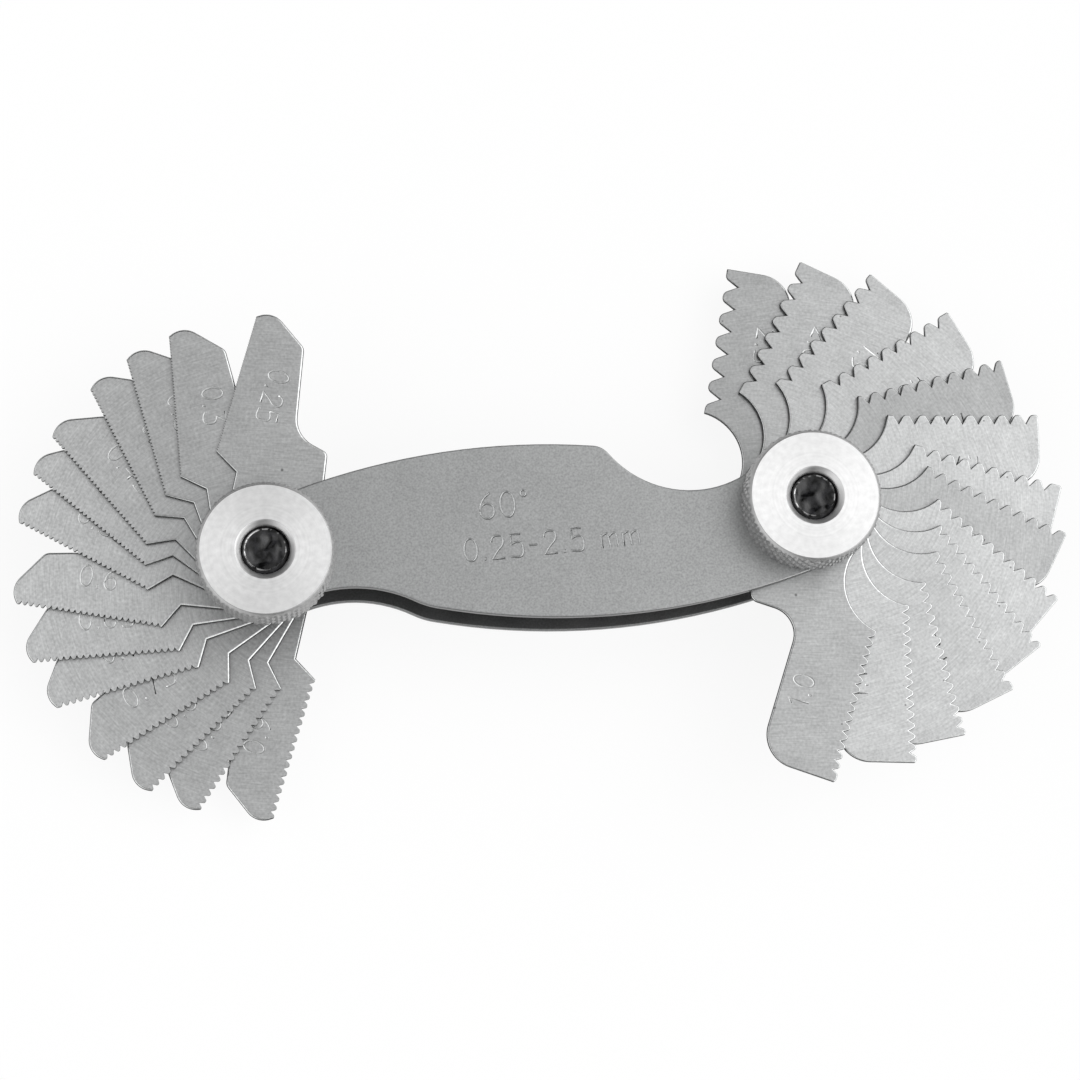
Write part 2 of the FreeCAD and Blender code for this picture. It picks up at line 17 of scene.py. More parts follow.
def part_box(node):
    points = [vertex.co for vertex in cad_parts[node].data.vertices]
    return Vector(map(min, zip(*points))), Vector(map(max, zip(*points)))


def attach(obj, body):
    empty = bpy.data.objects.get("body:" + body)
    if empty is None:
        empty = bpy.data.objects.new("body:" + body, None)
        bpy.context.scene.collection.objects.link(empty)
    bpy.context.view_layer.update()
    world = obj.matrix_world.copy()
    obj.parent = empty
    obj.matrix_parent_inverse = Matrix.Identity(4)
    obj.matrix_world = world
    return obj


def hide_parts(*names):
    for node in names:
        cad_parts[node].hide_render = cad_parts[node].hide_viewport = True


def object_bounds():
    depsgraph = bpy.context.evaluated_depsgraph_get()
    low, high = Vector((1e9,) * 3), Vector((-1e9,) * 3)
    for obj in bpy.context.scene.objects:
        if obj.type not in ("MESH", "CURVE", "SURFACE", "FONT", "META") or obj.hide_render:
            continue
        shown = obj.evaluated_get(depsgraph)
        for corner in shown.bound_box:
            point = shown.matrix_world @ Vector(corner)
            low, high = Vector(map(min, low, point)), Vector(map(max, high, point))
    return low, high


bl_info = {
    "name": "Thread Pitch Gauge",
    "version": (1, 0, 0),
    "blender": (4, 5, 0),
    "location": "3D View > Sidebar > Pitch Gauge",
    "description": "Builds the visible leaves, case, nuts and screws of a thread pitch gauge",
    "category": "Object",
}

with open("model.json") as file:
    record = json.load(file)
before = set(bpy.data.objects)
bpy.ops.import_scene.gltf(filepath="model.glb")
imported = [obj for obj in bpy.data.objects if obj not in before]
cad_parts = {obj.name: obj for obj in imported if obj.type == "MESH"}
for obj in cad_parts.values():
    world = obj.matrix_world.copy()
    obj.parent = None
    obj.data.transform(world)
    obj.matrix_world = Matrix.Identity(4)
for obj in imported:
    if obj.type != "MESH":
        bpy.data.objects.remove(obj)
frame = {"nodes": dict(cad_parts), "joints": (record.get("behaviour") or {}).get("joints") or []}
CAD_LOW, CAD_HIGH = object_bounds()
MM = 0.001

JOINTS = {joint["name"]: joint for joint in frame["joints"]}
PIVOTS = {
    "left": Vector(JOINTS["left_nut_turn"]["pos_m"]),
    "right": Vector(JOINTS["right_nut_turn"]["pos_m"]),
}
BORE_ZONE = 3.0 * MM  # rims nearer to a pivot than this are bores, and stay square
WELD = 1e-7  # corners nearer than this are one
UPRIGHT = 1e-6  # an edge that leans less than this stands upright

# A leaf's own plan has its pivot at 0, its tip along +X and its teeth on the +Y edge, in millimetres
TOOTH_LINE = {"left": ((10.78, 5.61), (25.10, 2.40)), "right": ((12.72, 7.18), (27.90, 2.86))}
TOOTH_FALL = {"left": 0.0, "right": 0.65}  # drop of the line's outer end per mm of pitch over 1 mm
TOOTH_ROUNDING = {"left": 0.0, "right": 0.48}  # share of the rim's rounding that the teeth get
FIGURE_PLACE = {"left": (16.85, 0.22), "right": (18.95, -0.58)}
GAP_DEPTH = 0.572  # of the pitch, the depth of a tooth gap
CREST_ROUNDING = 0.135  # of the pitch, what a worn tool leaves on each corner of a crest
SHARP_PITCH = 0.45  # mm; the crests of this pitch and finer ones are too narrow to round

# How much of a face's normal points up or down tells it from its rims and walls
LEAF_WALL, BURNISHED = 0.7, (0.5, 0.99)
CASE_WALL, CASE_FACE = 0.6, 0.98
TURNED_FACE = 0.995

# Tones are shares of a finish's own colour; the ones below are painted shade
RIM_PAINTED_SHADE = 0.5  # painted shade: a nut's knurled rim and chamfers darker than its face
BORE_PAINTED_SHADE = 0.7  # painted shade in the countersink and bore of a nut
INNER_PAINTED_SHADE = 0.4  # painted shade on the inner faces and walls of the case plates, for the dark gap between them
WALL_PAINTED_SHADE = 0.07  # painted shade: a leaf's walls and the outer half of its rims nearly black, for the shade in the gaps under its edges
# Painted light and shade: some leaves lighter and some darker, as their slight tilts catch the light
TILT_PAINTED_SHADE = {"1.0": 0.9, "1.1": 1.08, "1.2": 1.07, "1.5": 0.8, "1.75": 0.76, "1.9": 1.05, "2.5": 0.85}

HEIGHT_SHARE = 1.7  # how much a turned part's height counts in its plan, beside the radius
KNURL_COLUMNS = 8  # of the mesh to one groove of the knurl
KNURL_CREST = 0.3  # share of a knurl's diamond that stays flat
THREAD_COLUMNS = 96  # of the mesh round a screw
THREAD_CREST = 0.12  # share of the pitch that stays flat
THREAD_DEPTH = 0.55  # of the pitch
MATH, RANGE, MIX = "ShaderNodeMath", "ShaderNodeMapRange", "ShaderNodeMix"


# ---------------------------------------------------------------- colours and nodes


def linear(code):
    """sRGB hex to the linear colour that Blender works in."""
    parts = [int(code[i : i + 2], 16) / 255 for i in (1, 3, 5)]
    return tuple(c / 12.92 if c <= 0.04045 else ((c + 0.055) / 1.055) ** 2.4 for c in parts)


def add_node(tree, kind, inputs=(), **settings):
    """Add one node with its settings. Its inputs come in order, or in a dict by name or number;
    each is a value, a socket, or another node, whose first output is meant."""
    node = tree.nodes.new(kind)
    for key, value in settings.items():
        setattr(node, key, value)
    for key, value in inputs.items() if isinstance(inputs, dict) else enumerate(inputs):
        if isinstance(value, bpy.types.Node):
            value = value.outputs[0]
        if isinstance(value, bpy.types.NodeSocket):
            tree.links.new(value, node.inputs[key])
        else:
            node.inputs[key].default_value = value
    return node


def new_material(name):
    """A material with only its output node; returns it with its tree."""
    material = bpy.data.materials.new(name)
    material.use_nodes = True
    material.node_tree.nodes.clear()
    return material, material.node_tree


def finish_material(material, colour, inputs):
    """Give the material its Principled shader; the colour is also its plain viewport colour."""
    tree = material.node_tree
    surface = add_node(tree, "ShaderNodeBsdfPrincipled", inputs)
    add_node(tree, "ShaderNodeOutputMaterial", {"Surface": surface})
    material.diffuse_color = (*colour, 1)
    return material


def tinted(tree, colour, amount, spread):
    """The colour made darker and lighter by a 0 to 1 pattern: spread is the whole swing."""
    low = tuple(c * (1 - spread / 2) for c in colour)
    high = tuple(min(1.0, c * (1 + spread / 2)) for c in colour)
    mix = add_node(tree, MIX, {0: amount, 6: (*low, 1), 7: (*high, 1)}, data_type="RGBA")
    return mix.outputs[2]


def toned(tree, colour, attribute):
    """The colour times the tone that paint_faces wrote on the mesh."""
    tone = add_node(tree, "ShaderNodeAttribute", attribute_name=attribute)
    mix = add_node(tree, MIX, {0: 1.0, 6: colour, 7: tone}, data_type="RGBA", blend_type="MULTIPLY")
    return mix.outputs[2]


def object_millimetres(tree):
    """Object coordinates in millimetres."""
    place = add_node(tree, "ShaderNodeTexCoord")
    return add_node(tree, "ShaderNodeMapping", {"Vector": place.outputs["Object"], "Scale": (1 / MM,) * 3})


def leaf_steel(colours):
    """Stainless spring strip, ground across the leaf and then tumbled.

    The eye gets a satin grey that is brighter on a leaf that points at the light than on one that lies
    across it, faint lines across the leaf, a fine speckle, stray scratches and a few dark pits."""
    material, tree = new_material("stainless_strip_ground_tumbled")
    plan = add_node(tree, "ShaderNodeUVMap", uv_map="leaf_plan")  # millimetres along and across the leaf

    def pattern(scale, detail, turn=0.0, offset=0.0):
        """Noise drawn on the leaf's plan: scale along and across it, in patches per millimetre."""
        laid = add_node(tree, "ShaderNodeMapping", {
            "Vector": plan, "Location": (offset, offset, 0), "Rotation": (0, 0, turn), "Scale": (*scale, 1),
        })
        return add_node(tree, "ShaderNodeTexNoise", {"Vector": laid, "Scale": 1.0, "Detail": detail})

    # grinding lines are about 0.02 mm wide, drawn at 0.15 mm so that they show; they run across
    lines = pattern((6.5, 0.5), 2.0)
    # tumbling marks, 0.3 mm
    dints = pattern((3.4, 3.4), 3.0)
    # cloudy patches left by handling, 3 mm
    clouds = pattern((0.32, 0.32), 3.0, offset=40.0)
    # stray scratches, 0.1 mm wide and a few millimetres long
    scratches = add_node(tree, RANGE, (pattern((0.3, 8.0), 1.0, 0.6, 90.0), 0.69, 0.74))
    # pits of 0.2 mm, only where the clouds are thick
    spots = add_node(tree, "ShaderNodeTexVoronoi", {"Vector": plan, "Scale": 0.7})
    thin = add_node(tree, MATH, (0.62, clouds), operation="SUBTRACT")
    unpitted = add_node(tree, RANGE, (add_node(tree, MATH, (spots, thin), operation="ADD"), 0.08, 0.12))

    mottle = 0.0
    for part, share in ((lines, 0.35), (dints, 0.45), (clouds, 0.2)):
        mottle = add_node(tree, MATH, (part, share, mottle), operation="MULTIPLY_ADD")
    # the painted attribute adds a random grey per strip and painted shade: leaves lighter or darker for their
    # tilts, nearly black walls and outer rims
    shade = toned(tree, tinted(tree, colours.leaf, mottle, spread=1.5), "leaf_tone_and_painted_shade")
    dark = tuple(c * 0.45 for c in colours.leaf)
    pitted = add_node(tree, MIX, {0: unpitted, 6: (*dark, 1), 7: shade}, data_type="RGBA")
    bright = tuple(min(1, c * 1.5) for c in colours.leaf)
    faint = add_node(tree, MATH, (scratches, 0.15), operation="MULTIPLY")
    base = add_node(tree, MIX, {0: faint, 6: pitted.outputs[2], 7: (*bright, 1)}, data_type="RGBA")

    ground = add_node(tree, MATH, (lines, dints), operation="ADD")
    marked = add_node(tree, MATH, (unpitted, scratches), operation="SUBTRACT")
    height = add_node(tree, MATH, (ground, marked), operation="ADD")
    bump = add_node(tree, "ShaderNodeBump", {"Height": height, "Strength": 0.3, "Distance": 0.01 * MM})
    # the grinding spreads a reflection along the leaf, at right angles to its lines
    along = add_node(tree, "ShaderNodeTangent", direction_type="UV_MAP", uv_map="leaf_plan")
    # tumbling burnishes the rims, so they mirror more sharply than the faces
    rim = add_node(tree, "ShaderNodeAttribute", attribute_name="burnished")
    satin = add_node(tree, RANGE, (dints, 0.3, 0.7, 0.38, 0.46))
    rough = add_node(tree, MIX, {0: rim.outputs["Fac"], 2: satin, 3: 0.22}, data_type="FLOAT")
    return finish_material(material, colours.leaf, {
        "Base Color": base.outputs[2], "Normal": bump, "Metallic": 1.0, "Roughness": rough,
        "Anisotropic": 0.6, "Tangent": along,
    })


def case_steel(colours):
    """Stainless plate, blasted with fine beads.

    The eye gets a darker, flatter grey than the leaves, with a fine even grain and no direction."""
    material, tree = new_material("stainless_plate_bead_blasted")
    place = object_millimetres(tree)
    # beads leave dimples of about 0.1 mm, drawn at 0.2 mm so that they show
    grain = add_node(tree, "ShaderNodeTexNoise", {"Vector": place, "Scale": 5.0, "Detail": 2.0})
    # cloudy patches of 3 mm
    clouds = add_node(tree, "ShaderNodeTexNoise", {"Vector": place, "Scale": 0.3, "Detail": 3.0})
    mottle = add_node(tree, MIX, {0: 0.12, 2: grain, 3: clouds}, data_type="FLOAT")
    # the painted attribute darkens the inner faces and walls with painted shade
    shade = toned(tree, tinted(tree, colours.case, mottle, spread=0.9), "case_painted_shade")
    rough = add_node(tree, RANGE, (clouds, 0.3, 0.7, 0.37, 0.43))
    bump = add_node(tree, "ShaderNodeBump", {"Height": grain, "Strength": 0.25, "Distance": 0.01 * MM})
    return finish_material(material, colours.case, {
        "Base Color": shade, "Normal": bump, "Metallic": 1.0, "Roughness": rough,
    })


def nut_aluminium(colours):
    """Aluminium bar, faced and bored on a lathe, rim knurled.

    The eye gets a nearly white face, a little darker above and below the bore than beside it, with
    very faint rings and smudges; the rim and the mouth of the bore are darkened with painted shade."""
    material, tree = new_material("aluminium_bar_turned")
    plan = add_node(tree, "ShaderNodeUVMap", uv_map="turned_plan")  # millimetres out from the axis, turn
    out = add_node(tree, "ShaderNodeSeparateXYZ", (plan,))
    # the tool's feed is about 0.05 mm a turn, drawn as uneven rings of 0.2 mm so that it shows
    rings = add_node(
        tree, "ShaderNodeTexNoise", {"W": out, "Scale": 5.0, "Detail": 2.0}, noise_dimensions="1D"
    )
    # finger smudges, 0.6 mm
    smudges = add_node(
        tree, "ShaderNodeTexNoise", {"Vector": object_millimetres(tree), "Scale": 1.6, "Detail": 5.0}
    )
    mottle = add_node(tree, MATH, (smudges, 3.0, rings), operation="MULTIPLY_ADD")
    mean = add_node(tree, MATH, (mottle, 0.25), operation="MULTIPLY")
    # the painted attribute darkens the knurled rim and the bore's mouth with painted shade
    shade = toned(tree, tinted(tree, colours.nut, mean, spread=0.6), "turned_painted_shade")
    rough = add_node(tree, RANGE, (smudges, 0.3, 0.7, 0.36, 0.44))
    bump = add_node(tree, "ShaderNodeBump", {"Height": rings, "Strength": 0.2, "Distance": 0.01 * MM})
    # the tool's rings spread a reflection outwards from the axis
    outwards = add_node(tree, "ShaderNodeTangent", direction_type="UV_MAP", uv_map="turned_plan")
    return finish_material(material, colours.nut, {
        "Base Color": shade, "Normal": bump, "Metallic": 1.0, "Roughness": rough,
        "Anisotropic": 0.42, "Tangent": outwards,
    })


def screw_oxide(colours):
    """Steel screw, hot black oxide, oiled.

    The eye gets a deep glossy black that mirrors the lamps in blotches, rubbed to bare steel on
    the thin edge round the screw's end."""
    material, tree = new_material("steel_black_oxide_oiled")
    # blotches of the oxide bath, 0.6 mm
    mottle = add_node(
        tree, "ShaderNodeTexNoise", {"Vector": object_millimetres(tree), "Scale": 1.6, "Detail": 3.0}
    )
    blotch = add_node(tree, RANGE, (mottle, 0.42, 0.6))
    shade = tinted(tree, colours.screw, blotch, spread=1.8)
    # the edge is rubbed here and there, not all the way round
    rubbed = add_node(tree, "ShaderNodeAttribute", attribute_name="rubbed")
    bare = add_node(tree, MATH, (rubbed.outputs["Fac"], blotch), operation="MULTIPLY")
    base = add_node(tree, MIX, {0: bare, 6: shade, 7: (*linear("#C8C8C8"), 1)}, data_type="RGBA")
    rough = add_node(tree, RANGE, (mottle, 0.3, 0.7, 0.08, 0.3))
    bump = add_node(tree, "ShaderNodeBump", {"Height": mottle, "Strength": 0.5, "Distance": 0.08 * MM})
    return finish_material(material, colours.screw, {
        "Base Color": base.outputs[2], "Normal": bump, "Metallic": bare, "IOR": 1.45, "Roughness": rough,
    })


# ---------------------------------------------------------------- meshes


@contextmanager
def edited(mesh):
    """Open a mesh for bmesh edits, and write it back after them."""
    bm = bmesh.new()
    bm.from_mesh(mesh)
    yield bm
    bm.to_mesh(mesh)
    bm.free()


def new_object(name, data):
    """A new object in the scene, at the origin."""
    made = bpy.data.objects.new(name, data)
    bpy.context.scene.collection.objects.link(made)
    return made


def new_piece(name, mesh, material, body, node):
    """Put a finished mesh in the scene in place of a CAD node."""
    mesh.name = name
    mesh.materials.clear()
    mesh.materials.append(material)
    piece = new_object(name, mesh)
    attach(piece, body)
    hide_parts(node)
    return piece


def evaluated_mesh(temporary):
    """The object's mesh with its modifiers applied; the temporary object is removed."""
    bpy.context.view_layer.update()
    shown = temporary.evaluated_get(bpy.context.evaluated_depsgraph_get())
    mesh = bpy.data.meshes.new_from_object(shown)
    bpy.data.objects.remove(temporary)
    return mesh


def merged_copy(node):
    """A copy of a CAD solid, its loose triangles joined into whole flat faces."""
    mesh = frame["nodes"][node].data.copy()
    with edited(mesh) as bm:
        bmesh.ops.remove_doubles(bm, verts=bm.verts, dist=WELD)
        bmesh.ops.dissolve_limit(bm, angle_limit=math.radians(0.4), verts=bm.verts, edges=bm.edges)
    return mesh


def mark_rims(mesh, weight_at):
    """Write the rounding weight, which weight_at(middle) gives, on every edge of a flat face."""
    normals = {}
    for face in mesh.polygons:
        for key in face.edge_keys:
            normals.setdefault(key, []).append(abs(face.normal.z))
    weights = mesh.attributes.new("bevel_weight_edge", "FLOAT", "EDGE")
    for edge in mesh.edges:
        tilt = sorted(normals.get(edge.key, []))
        if len(tilt) == 2 and tilt[0] < 0.1 and tilt[1] > 0.9:  # one wall and one flat face
            a, b = (mesh.vertices[i].co for i in edge.vertices)
            weights.data[edge.index].value = weight_at((a + b) / 2)


def round_crests(mesh, on_crest, width):
    """Round the upright edges at the corners of the crests; on_crest(place) says which they are."""
    with edited(mesh) as bm:
        corners = [
            edge for edge in bm.edges
            if (edge.verts[0].co - edge.verts[1].co).xy.length < UPRIGHT and on_crest(edge.verts[0].co)
        ]
        bmesh.ops.bevel(
            bm, geom=corners, offset=width, offset_type="OFFSET", segments=3, profile=0.5, affect="EDGES"
        )


def soften_shading(mesh, degrees):
    """Smooth shading, sharp where the surface turns by more than the angle; level faces stay flat."""
    mesh.shade_smooth()
    mesh.set_sharp_from_angle(angle=math.radians(degrees))
    for face in mesh.polygons:
        face.use_smooth = abs(face.normal.z) < 0.9999


def paint_faces(mesh, attribute, tone_of):
    """Write every face's tone, which tone_of(face) gives, to a colour attribute."""
    tone = mesh.attributes.new(attribute, "FLOAT_COLOR", "CORNER")
    for face in mesh.polygons:
        shade = tone_of(face)
        for index in face.loop_indices:
            tone.data[index].color = (shade, shade, shade, 1)


# ---------------------------------------------------------------- engraved figures


def ring(x, y, rx, ry):
    """The eight control points of a closed oval stroke, which lie a little outside it."""
    out = 1.08
    turns = [k * math.pi / 4 for k in range(8)]
    return [(x + out * rx * math.cos(t), y + out * ry * math.sin(t)) for t in turns]


# Single-line figures, one unit high: each has its width and its strokes, as (form, points)
FIGURES = {
    "0": (0.56, [("oval", ring(0.28, 0.5, 0.28, 0.5))]),
    "1": (0.32, [("line", [(0.02, 0.80), (0.24, 1.0), (0.24, 0.0)])]),
    "2": (0.56, [("bend", [(0.02, 0.74), (0.02, 1.02), (0.54, 1.02), (0.56, 0.62), (0.26, 0.36), (0.0, 0.0)]),
                 ("line", [(0.0, 0.0), (0.56, 0.0)])]),
    "3": (0.54, [("line", [(0.02, 1.0), (0.52, 1.0), (0.24, 0.60)]),
                 ("bend", [(0.24, 0.60), (0.58, 0.62), (0.60, -0.04), (0.10, -0.04), (-0.02, 0.10)])]),
    "4": (0.56, [("line", [(0.42, 0.0), (0.42, 1.0), (0.0, 0.3), (0.56, 0.3)])]),
    "5": (0.54, [("line", [(0.50, 1.0), (0.08, 1.0), (0.06, 0.56)]),
                 ("bend", [(0.06, 0.56), (0.20, 0.66), (0.56, 0.66), (0.58, 0.0), (0.20, -0.02),
                           (-0.02, 0.04)])]),
    "6": (0.54, [("oval", ring(0.27, 0.30, 0.27, 0.30)), ("bend", [(0.44, 1.0), (0.02, 0.80), (0.0, 0.32)])]),
    "7": (0.54, [("line", [(0.0, 1.0), (0.54, 1.0), (0.18, 0.0)])]),
    "8": (0.54, [("oval", ring(0.27, 0.76, 0.21, 0.24)), ("oval", ring(0.27, 0.26, 0.27, 0.26))]),
    "9": (0.54, [("oval", ring(0.27, 0.70, 0.27, 0.30)),
                 ("bend", [(0.54, 0.68), (0.52, 0.20), (0.10, 0.0)])]),
    ".": (0.10, [("line", [(0.0, 0.01), (0.10, 0.01)]), ("line", [(0.0, 0.08), (0.10, 0.08)])]),
    "-": (0.44, [("line", [(0.04, 0.46), (0.40, 0.46)])]),
    "°": (0.24, [("oval", ring(0.12, 0.88, 0.11, 0.12))]),
    "m": (0.70, [("line", [(0.0, 0.0), (0.0, 0.62)]),
                 ("bend", [(0.0, 0.50), (0.16, 0.66), (0.35, 0.62), (0.35, 0.0)]),
                 ("bend", [(0.35, 0.50), (0.50, 0.66), (0.70, 0.62), (0.70, 0.0)])]),
    " ": (0.30, []),
}
FIGURE_GAP = 0.26  # between figures, as a share of their height


def engraving_tool(text, width_cut, depth, height, place):
    """A mesh of round rods along every stroke of the text, centred, to be cut out of a face.

    place takes the text's plane to the face; the rods stand above it so that only their
    lowest part cuts, which leaves a shallow round groove."""
    half_width = width_cut / 2
    rod = (half_width**2 + depth**2) / (2 * depth)
    width = sum(FIGURES[c][0] for c in text) + FIGURE_GAP * (len(text) - 1)
    curve = bpy.data.curves.new("engraving", "CURVE")
    curve.dimensions = "3D"
    curve.resolution_u = 4
    curve.bevel_depth = rod
    curve.bevel_resolution = 2
    curve.use_fill_caps = True
    start = -width / 2
    for letter in text:
        advance, strokes = FIGURES[letter]
        for form, points in strokes:
            spline = curve.splines.new("POLY" if form == "line" else "NURBS")
            spline.points.add(len(points) - 1)
            for point, (x, y) in zip(spline.points, points):
                point.co = ((start + x) * height, (y - 0.5) * height, rod - depth, 1)
            if form != "line":
                spline.order_u = 3
                spline.use_cyclic_u = form == "oval"
                spline.use_endpoint_u = form == "bend"
        start += advance + FIGURE_GAP
    mesh = evaluated_mesh(new_object("engraving", curve))
    with edited(mesh) as bm:
        bmesh.ops.remove_doubles(bm, verts=bm.verts, dist=WELD)
    mesh.transform(place)
    return mesh


def rounded_and_engraved(mesh, tools, weight_at, width):
    """Round a closed mesh's rims, then cut the tools out of it with exact Booleans.

    The width is less than half the mesh's thickness: where two rims cross, a Boolean fails."""
    mark_rims(mesh, weight_at)
    blank = new_object("blank", mesh)
    edge = blank.modifiers.new("Tumbled edge", "BEVEL")
    edge.limit_method = "WEIGHT"
    edge.width = width
    edge.segments = 4  # enough to look round in a close view
    edge.use_clamp_overlap = False
    edge.loop_slide = False
    cutters = []
    for tool in tools:
        cutter = new_object("cutter", tool)
        cutters.append(cutter)
        cut = blank.modifiers.new("Engrave", "BOOLEAN")
        cut.operation = "DIFFERENCE"
        cut.solver = "EXACT"
        cut.use_self = True
        cut.object = cutter
    mesh = evaluated_mesh(blank)
    for cutter in cutters:
        bpy.data.objects.remove(cutter)
    return mesh


# ---------------------------------------------------------------- turned parts


def turning_tree():
    """Geometry Nodes: turns a row of profile points round Z and cuts grooves into its rim.

    Starts is the number of grooves round the rim and Lift the height in which one groove moves on
    by one place. Crossed cuts a second set the other way, which leaves the diamonds of a knurl."""
    tree = bpy.data.node_groups.new("Turned and grooved", "GeometryNodeTree")
    tree.is_modifier = True
    face = tree.interface
    face.new_socket("Geometry", in_out="INPUT", socket_type="NodeSocketGeometry")
    for name, kind in (
        ("Columns", "Int"), ("Rows", "Int"), ("Starts", "Float"), ("Lift", "Float"),
        ("Groove Depth", "Float"), ("Crest", "Float"), ("Rim Radius", "Float"),
        ("Grooves From", "Float"), ("Crossed", "Float"), ("Finish", "Material"),
    ):
        face.new_socket(name, in_out="INPUT", socket_type="NodeSocket" + kind)
    face.new_socket("Geometry", in_out="OUTPUT", socket_type="NodeSocketGeometry")

    given = add_node(tree, "NodeGroupInput").outputs
    grid = add_node(
        tree, "GeometryNodeMeshGrid",
        {"Size X": 1.0, "Size Y": 1.0, "Vertices X": given["Columns"], "Vertices Y": given["Rows"]},
    )
    where = add_node(tree, "GeometryNodeInputPosition")
    flat = add_node(tree, "ShaderNodeSeparateXYZ", (where,)).outputs
    round_share = add_node(tree, MATH, (flat["X"], 0.5), operation="ADD")

    # the grid's rows follow the points of the profile
    up_share = add_node(tree, MATH, (flat["Y"], 0.5), operation="ADD")
    last_row = add_node(tree, MATH, (given["Rows"], 1.0), operation="SUBTRACT")
    row = add_node(tree, MATH, (up_share, last_row), operation="MULTIPLY")
    row = add_node(tree, MATH, (row,), operation="ROUND")
    sample = add_node(
        tree, "GeometryNodeSampleIndex", {"Geometry": given["Geometry"], "Value": where, "Index": row},
        data_type="FLOAT_VECTOR", domain="POINT",
    )
    profile = add_node(tree, "ShaderNodeSeparateXYZ", (sample,)).outputs
    radius, height = profile["X"], profile["Z"]

    # a triangle wave round the rim, 0 in the middle of a groove, moves round as the height grows
    turns = add_node(tree, MATH, (round_share, given["Starts"]), operation="MULTIPLY")
    lift = add_node(tree, MATH, (height, given["Grooves From"]), operation="SUBTRACT")
    lift = add_node(tree, MATH, (lift, given["Lift"]), operation="DIVIDE")
    climbing = add_node(tree, MATH, (turns, lift), operation="ADD")
    climbing = add_node(tree, MATH, (climbing, 0.5), operation="PINGPONG")
    falling = add_node(tree, MATH, (turns, lift), operation="SUBTRACT")
    falling = add_node(tree, MATH, (falling, 0.5), operation="PINGPONG")
    # the second set is lifted out of the metal when the grooves aren't crossed
    single = add_node(tree, MATH, (1.0, given["Crossed"]), operation="SUBTRACT")
    falling = add_node(tree, MATH, (falling, single), operation="ADD")
    land = add_node(tree, MATH, (climbing, falling), operation="MINIMUM")
    land = add_node(tree, MATH, (land, 2.0), operation="MULTIPLY")
    slope = add_node(tree, MATH, (1.0, given["Crest"]), operation="SUBTRACT")
    land = add_node(tree, MATH, (land, slope), operation="DIVIDE")
    land = add_node(tree, MATH, (land, 1.0), operation="MINIMUM")
    cut = add_node(tree, MATH, (1.0, land), operation="SUBTRACT")
    cut = add_node(tree, MATH, (cut, given["Groove Depth"]), operation="MULTIPLY")

    # the grooves limit the radius above their start; below it the limit is a metre further out
    above = add_node(tree, MATH, (height, given["Grooves From"]), operation="GREATER_THAN")
    below = add_node(tree, MATH, (height, given["Grooves From"]), operation="LESS_THAN")
    limit = add_node(tree, MATH, (cut, above), operation="MULTIPLY")
    limit = add_node(tree, MATH, (given["Rim Radius"], limit), operation="SUBTRACT")
    limit = add_node(tree, MATH, (limit, below), operation="ADD")
    radius = add_node(tree, MATH, (radius, limit), operation="MINIMUM")

    angle = add_node(tree, MATH, (round_share, 2 * math.pi), operation="MULTIPLY")
    ways = [add_node(tree, MATH, (angle,), operation=way) for way in ("COSINE", "SINE")]
    x, y = (add_node(tree, MATH, (radius, way), operation="MULTIPLY") for way in ways)
    place = add_node(tree, "ShaderNodeCombineXYZ", (x, y, height))
    turned = add_node(tree, "GeometryNodeSetPosition", {"Geometry": grid, "Position": place})
    closed = add_node(tree, "GeometryNodeMergeByDistance", {"Geometry": turned, "Distance": 1e-6})
    plain = add_node(tree, "GeometryNodeRealizeInstances", {"Geometry": closed})
    finished = add_node(tree, "GeometryNodeSetMaterial", {"Geometry": plain, "Material": given["Finish"]})
    add_node(tree, "NodeGroupOutput", (finished,))
    return tree


def turned_mesh(tree, outline, material, centre, **values):
    """Run the turning tree on an outline of (radius, height) points and put the result at its pivot."""
    points = bpy.data.meshes.new("outline")
    points.from_pydata([(r, 0, z) for r, z in outline], [], [])
    bar = new_object("bar", points)
    lathe = bar.modifiers.new("Lathe", "NODES")
    lathe.node_group = tree
    sockets = {item.name: item.identifier for item in tree.interface.items_tree if item.in_out == "INPUT"}
    values.update(Rows=len(outline), Finish=material)
    for name, value in values.items():
        lathe[sockets[name.replace("_", " ")]] = value
    mesh = evaluated_mesh(bar)
    with edited(mesh) as bm:
        bmesh.ops.recalc_face_normals(bm, faces=bm.faces)
    plan = mesh.uv_layers.new(name="turned_plan")
    for face in mesh.polygons:
        middle = math.atan2(face.center.y, face.center.x)
        for index in face.loop_indices:
            spot = mesh.vertices[mesh.loops[index].vertex_index].co
            turn = math.remainder(math.atan2(spot.y, spot.x) - middle, 2 * math.pi)
            # the height counts too, so that a wall has a direction
            out = spot.xy.length - HEIGHT_SHARE * spot.z
            plan.data[index].uv = (out / MM, middle + turn)
    mesh.transform(Matrix.Translation((centre.x, centre.y, 0)))
    return mesh


def steps(start, end, count):
    """Evenly spaced profile points after start, up to and with end."""
    return [
        (start[0] + (end[0] - start[0]) * k / count, start[1] + (end[1] - start[1]) * k / count)
        for k in range(1, count + 1)
    ]


def rounded(corner, before, after, radius, count):
    """Profile points of a rounded corner between two neighbouring points."""
    c, a, b = Vector(corner), Vector(before), Vector(after)
    first, last = c + (a - c).normalized() * radius, c + (b - c).normalized() * radius
    arc = []
    for k in range(count + 1):
        t = k / count
        arc.append(tuple(first * (1 - t) ** 2 + c * 2 * t * (1 - t) + last * t * t))
    return arc


# ---------------------------------------------------------------- settings


